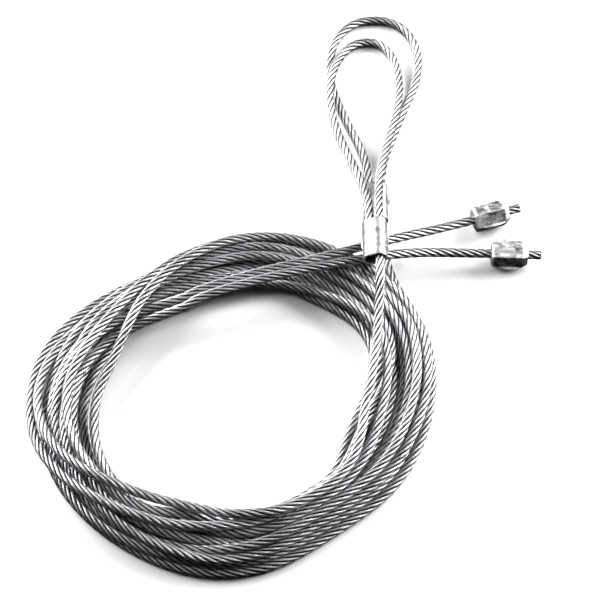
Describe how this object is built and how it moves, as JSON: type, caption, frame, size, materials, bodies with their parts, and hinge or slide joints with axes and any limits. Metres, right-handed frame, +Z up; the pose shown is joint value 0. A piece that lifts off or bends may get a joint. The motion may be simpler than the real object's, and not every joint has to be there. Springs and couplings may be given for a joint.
{
  "type": "pair of wire rope lift cables",
  "caption": "Two coiled galvanised wire-rope lift cables, each with a sleeved soft eye at one end and a crimped stop at the other.",
  "frame": {"origin": "on the surface the coil lies on, in the middle of the space that the pair covers", "axes": "+Z up from the surface, +Y towards the eyes, +X towards the stops"},
  "size_m": [0.157, 0.2093, 0.0188],
  "materials": {
    "rope": "bright galvanised wire",
    "sleeve": "crimped, scuffed",
    "stop": "crimped, scuffed"
  },
  "bodies": {
    "root": {"coil": "rope", "eye_rope_a": "rope", "eye_rope_b": "rope", "lead_rope_a": "rope", "lead_rope_b": "rope", "tail_rope_a": "rope", "tail_rope_b": "rope", "end_strands_a": "rope", "end_strands_b": "rope", "end_core_a": "rope", "end_core_b": "rope", "eye_sleeve_a": "sleeve", "eye_sleeve_b": "sleeve", "stop_sleeve_a": "stop", "stop_sleeve_b": "stop"}
  },
  "joints": []
}
